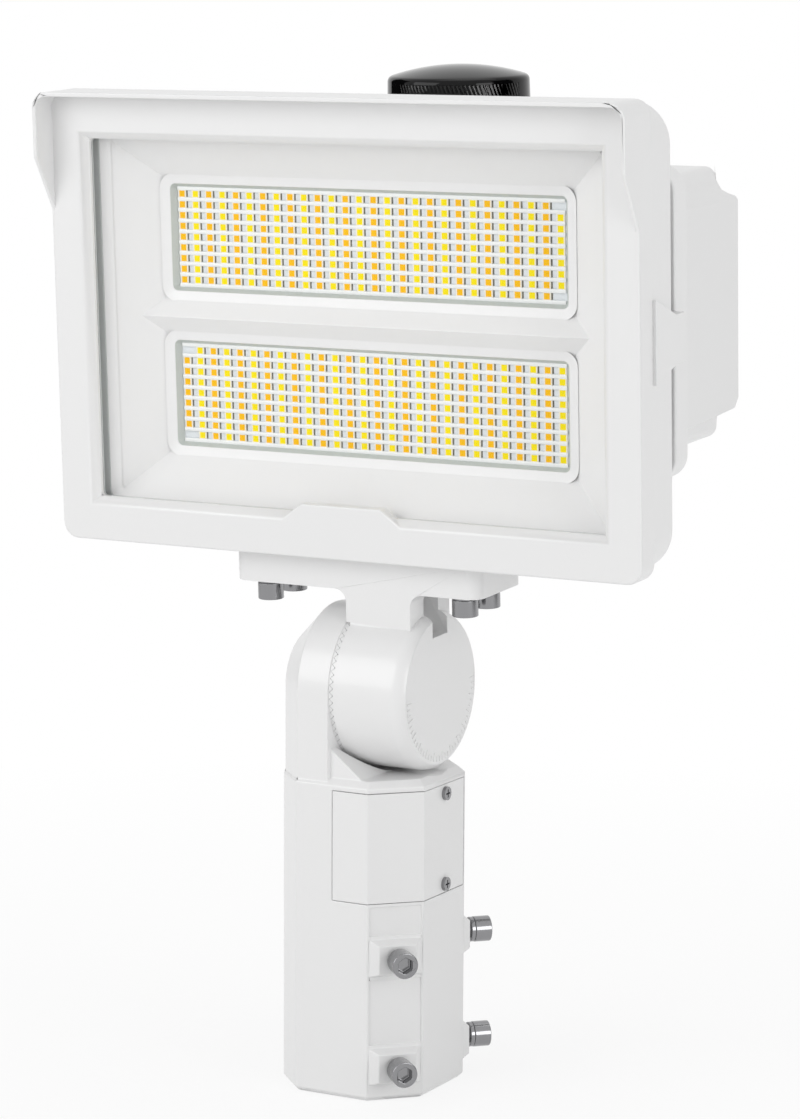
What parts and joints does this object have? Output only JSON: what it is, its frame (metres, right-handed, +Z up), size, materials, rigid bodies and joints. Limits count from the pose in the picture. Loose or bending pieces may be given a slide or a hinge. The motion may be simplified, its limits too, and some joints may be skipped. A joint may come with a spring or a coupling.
{
  "type": "led flood light",
  "caption": "White LED flood light on a slip fitter for a pole, with a toothed tilt knuckle, a visor, a rear driver box and a twist-lock photocell.",
  "frame": {"origin": "centre of the pole socket's mouth, at the fitter's lower end", "axes": "+Z up along the socket's axis, -Y towards the lens side, +X to the viewer's right, parallel to the tilt axis"},
  "size_m": [0.362, 0.2437, 0.5634],
  "materials": {
    "white_coated_aluminium": "white gloss powder coat",
    "gasket_rubber": "matte",
    "pale_silicone": "matte",
    "stainless_steel": "polished",
    "clear_glass": "clear",
    "white_reflector": "satin",
    "white_board": "matte",
    "orange_phosphor": "satin",
    "yellow_phosphor": "satin",
    "bare_aluminium": "satin",
    "black_plastic": "matte",
    "ivory_plastic": "matte",
    "green_laminate": "satin",
    "gloss_black_plastic": "gloss",
    "smoked_plastic": "gloss"
  },
  "bodies": {
    "fitter": {"slip_fitter": "white_coated_aluminium", "cover_gasket": "gasket_rubber", "wiring_cover": "white_coated_aluminium", "cover_screws": "stainless_steel", "clamp_washers": "stainless_steel", "clamp_bolts": "stainless_steel"},
    "head": {"knuckle_arm": "white_coated_aluminium", "pivot_washer": "stainless_steel", "pivot_bolt": "stainless_steel", "flange_gasket": "gasket_rubber", "flange_washers": "stainless_steel", "flange_bolts": "stainless_steel", "front_frame": "white_coated_aluminium", "lens_gasket": "pale_silicone", "lens_glass": "clear_glass", "reflector": "white_reflector", "led_board_upper": "white_board", "led_board_lower": "white_board", "led_chips_warm": "orange_phosphor", "led_chips_cool": "yellow_phosphor", "board_screws": "stainless_steel", "housing": "white_coated_aluminium", "frame_screws": "stainless_steel", "driver_box": "white_coated_aluminium", "box_screws": "stainless_steel", "lid_gasket": "gasket_rubber", "box_lid": "white_coated_aluminium", "lid_screws": "stainless_steel", "led_driver": "bare_aluminium", "driver_screws": "stainless_steel", "surge_protector": "black_plastic", "terminal_block": "ivory_plastic", "receptacle_gasket": "gasket_rubber", "photocell_receptacle": "black_plastic", "receptacle_screws": "stainless_steel"},
    "photocell": {"photocell_base": "black_plastic", "photocell_board": "green_laminate", "photo_sensor": "ivory_plastic", "photocell_cap": "gloss_black_plastic", "photocell_window": "smoked_plastic"}
  },
  "joints": [
    {"name": "knuckle_tilt", "type": "hinge", "parent": "fitter", "child": "head", "pos_m": [0, 0, 0.224], "axis": [1, 0, 0], "range_deg": [-90, 90]},
    {"name": "photocell_twist", "type": "hinge", "parent": "head", "child": "photocell", "pos_m": [0, 0.09384, 0.51431], "axis": [0, -0.0523, 0.9986], "range_deg": [0, 30]}
  ]
}
